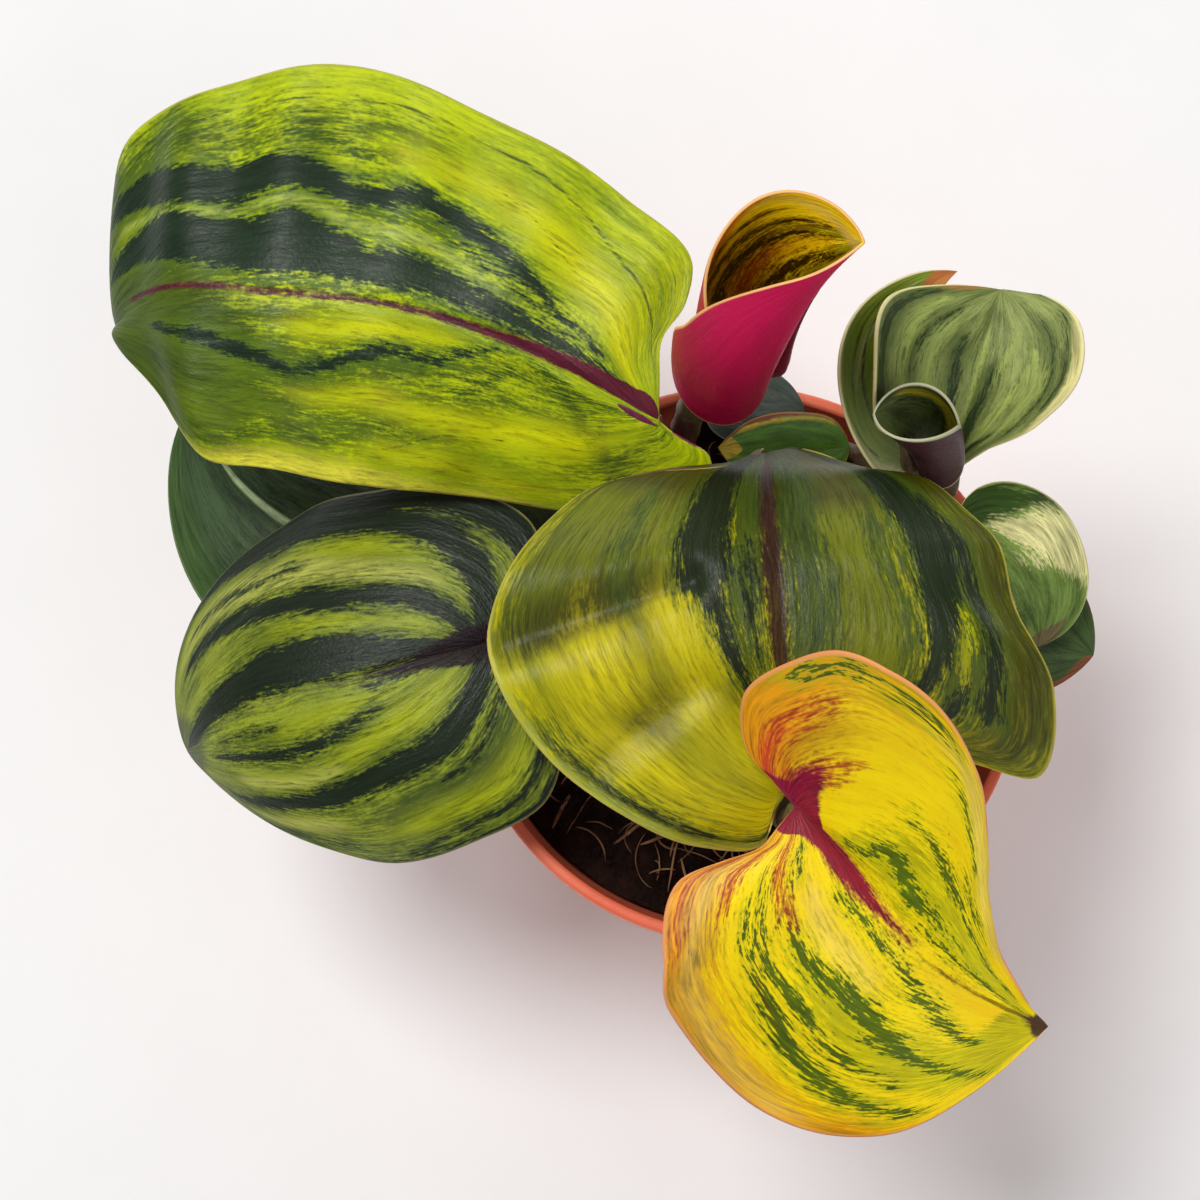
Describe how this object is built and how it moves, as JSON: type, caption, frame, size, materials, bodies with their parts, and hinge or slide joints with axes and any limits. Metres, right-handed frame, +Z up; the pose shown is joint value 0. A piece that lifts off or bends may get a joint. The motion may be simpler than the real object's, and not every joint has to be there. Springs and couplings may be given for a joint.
{
  "type": "potted geogenanthus",
  "caption": "Potted geogenanthus with broad striped green, yellow and magenta leaves on short stems in a round terracotta-coloured plastic pot of dark soil.",
  "frame": {"origin": "centre of the pot's foot, on the surface that it stands on", "axes": "+Z up along the pot's axis; +Y towards the rolled magenta leaf, away from the yellow one; +X towards the small cupped leaves"},
  "size_m": [0.2061, 0.2159, 0.2146],
  "materials": {
    "pot": "satin, terracotta-coloured",
    "soil": "loose dark potting mix with tan fibres",
    "stem": "smooth fleshy stem",
    "leaf_wide_upper": "waxy leaf, yellow-green with dark green stripes",
    "leaf_wide_middle": "waxy leaf, yellow-green and mid green with dark stripes",
    "leaf_yellow": "waxy leaf, yellow and orange with olive streaks and a magenta throat",
    "leaf_striped": "waxy leaf, dark green and yellow-green stripes",
    "leaf_dark_left": "waxy leaf, dark green with a grey sheen",
    "leaf_rolled_red": "waxy leaf, magenta outside, striped yellow and green inside",
    "leaf_cupped": "waxy leaf, grey-green streaks with a cream margin",
    "leaf_cupped_back": "waxy leaf, olive band with dark streaks",
    "leaf_rolled_green": "waxy leaf, dark green inside, dark purple outside",
    "leaf_cream": "waxy leaf, green with a wide cream band",
    "leaf_dark_right": "waxy leaf, dark green with a reddish-brown edge",
    "leaf_small_folded": "waxy leaf, green with a dried yellow edge",
    "leaf_small_dark": "waxy leaf, dark grey-green"
  },
  "bodies": {
    "root": {"pot": "pot", "soil": "soil", "stem_back": "stem", "stem_front": "stem", "stem_right": "stem", "leaf_wide_upper": "leaf_wide_upper", "leaf_wide_middle": "leaf_wide_middle", "leaf_yellow": "leaf_yellow", "leaf_striped": "leaf_striped", "leaf_dark_left": "leaf_dark_left", "leaf_rolled_red": "leaf_rolled_red", "leaf_cupped": "leaf_cupped", "leaf_cupped_back": "leaf_cupped_back", "leaf_rolled_green": "leaf_rolled_green", "leaf_cream": "leaf_cream", "leaf_dark_right": "leaf_dark_right", "leaf_small_folded": "leaf_small_folded", "leaf_small_dark": "leaf_small_dark"}
  },
  "joints": []
}
